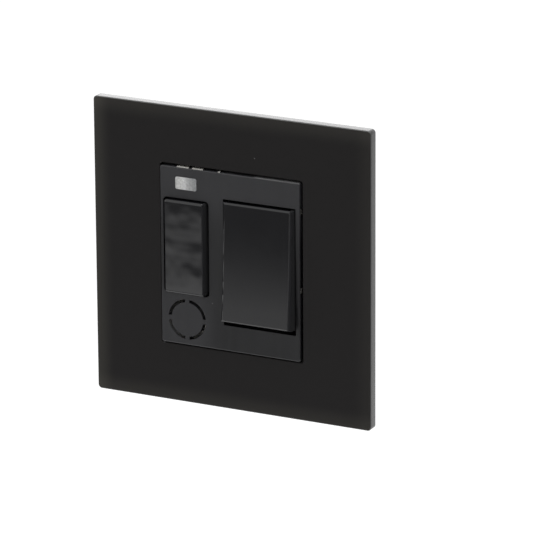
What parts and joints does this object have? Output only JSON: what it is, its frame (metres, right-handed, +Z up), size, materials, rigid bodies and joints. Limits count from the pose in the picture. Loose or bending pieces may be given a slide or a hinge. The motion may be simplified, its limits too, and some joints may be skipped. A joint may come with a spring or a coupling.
{
  "type": "fused spur unit",
  "caption": "Square black glass wall unit with a rocker switch, pull-out cartridge fuse carrier, neon lens and round flex-outlet knock-out.",
  "frame": {"origin": "on the wall plane, midway between the two fixing slots of the yoke", "axes": "+X to the right as seen from the front, +Y into the wall, +Z up; the glass faces -Y"},
  "size_m": [0.09, 0.04, 0.09],
  "materials": {
    "black_glass": "polished, back-painted black",
    "black_moulding": "fine satin",
    "yoke_steel": "zinc plated",
    "insert_plastic": "satin black",
    "rocker_plastic": "glossy black",
    "carrier_plastic": "glossy black",
    "base_plastic": "white moulded thermoset",
    "zinc_screw": "zinc plated",
    "nylon": "natural nylon",
    "spring_steel": "bright",
    "contact_brass": "rolled",
    "silver": "dull silver",
    "clip_brass": "rolled",
    "ceramic_tube": "glazed",
    "fuse_cap": "nickel plated",
    "clear_lens": "clear moulded",
    "lamp_glass": "clear glass bulb",
    "resistor_body": "lacquered",
    "lead_wire": "tinned copper",
    "terminal_brass": "machined",
    "terminal_screw": "zinc plated",
    "clamp_plastic": "moulded"
  },
  "bodies": {
    "module": {"mounting_yoke": "yoke_steel", "front_housing": "insert_plastic", "rear_housing": "base_plastic", "housing_screws": "zinc_screw", "live_fixed_tip": "silver", "neutral_fixed_tip": "silver", "live_saddle": "contact_brass", "neutral_saddle": "contact_brass", "live_fixed_contact": "contact_brass", "neutral_fixed_contact": "contact_brass", "live_link": "contact_brass", "fuse_clip_lower": "clip_brass", "fuse_clip_upper": "clip_brass", "neon_lens": "clear_lens", "neon_lamp": "lamp_glass", "neon_resistor": "resistor_body", "neon_leads": "lead_wire", "live_feed_terminal": "terminal_brass", "neutral_feed_terminal": "terminal_brass", "earth_feed_terminal": "terminal_brass", "live_load_terminal": "terminal_brass", "neutral_load_terminal": "terminal_brass", "earth_load_terminal": "terminal_brass", "terminal_screws": "terminal_screw", "earth_strap": "contact_brass", "cord_clamp": "clamp_plastic", "cord_clamp_screws": "zinc_screw"},
    "front_frame": {"glass_frame": "black_glass", "frame_backing": "black_moulding"},
    "rocker": {"rocker": "rocker_plastic", "live_plunger_spring": "spring_steel", "neutral_plunger_spring": "spring_steel"},
    "live_plunger": {"live_plunger": "nylon"},
    "neutral_plunger": {"neutral_plunger": "nylon"},
    "live_contact": {"live_moving_contact": "contact_brass", "live_moving_tip": "silver"},
    "neutral_contact": {"neutral_moving_contact": "contact_brass", "neutral_moving_tip": "silver"},
    "fuse_carrier": {"fuse_carrier": "carrier_plastic", "fuse_tube": "ceramic_tube", "fuse_cap_upper": "fuse_cap", "fuse_cap_lower": "fuse_cap"}
  },
  "joints": [
    {"name": "frame_pull_off", "type": "slide", "parent": "module", "child": "front_frame", "axis": [0, -1, 0], "range_m": [0, 0.016]},
    {"name": "rocker_switch", "type": "hinge", "parent": "module", "child": "rocker", "pos_m": [0.00955, -0.0036, 0], "axis": [1, 0, 0], "range_deg": [0, 6]},
    {"name": "fuse_carrier_pull_out", "type": "slide", "parent": "module", "child": "fuse_carrier", "axis": [0, -1, 0], "range_m": [0, 0.02]},
    {"name": "live_contact_tip", "type": "hinge", "parent": "module", "child": "live_contact", "pos_m": [0.00405, 0.0039, 0], "axis": [1, 0, 0], "range_deg": [-12, 0]},
    {"name": "live_plunger_slide", "type": "slide", "parent": "rocker", "child": "live_plunger", "axis": [0, -0.9986, 0.0523], "range_m": [0, 0.0006], "stiffness_N_per_m": 400, "deforming": ["live_plunger_spring"]},
    {"name": "neutral_contact_tip", "type": "hinge", "parent": "module", "child": "neutral_contact", "pos_m": [0.01505, 0.0039, 0], "axis": [1, 0, 0], "range_deg": [-12, 0]},
    {"name": "neutral_plunger_slide", "type": "slide", "parent": "rocker", "child": "neutral_plunger", "axis": [0, -0.9986, 0.0523], "range_m": [0, 0.0006], "stiffness_N_per_m": 400, "deforming": ["neutral_plunger_spring"]}
  ],
  "couplings": [
    {"joint": "live_contact_tip", "follows": "rocker_switch", "ratio": -2},
    {"joint": "neutral_contact_tip", "follows": "rocker_switch", "ratio": -2}
  ]
}
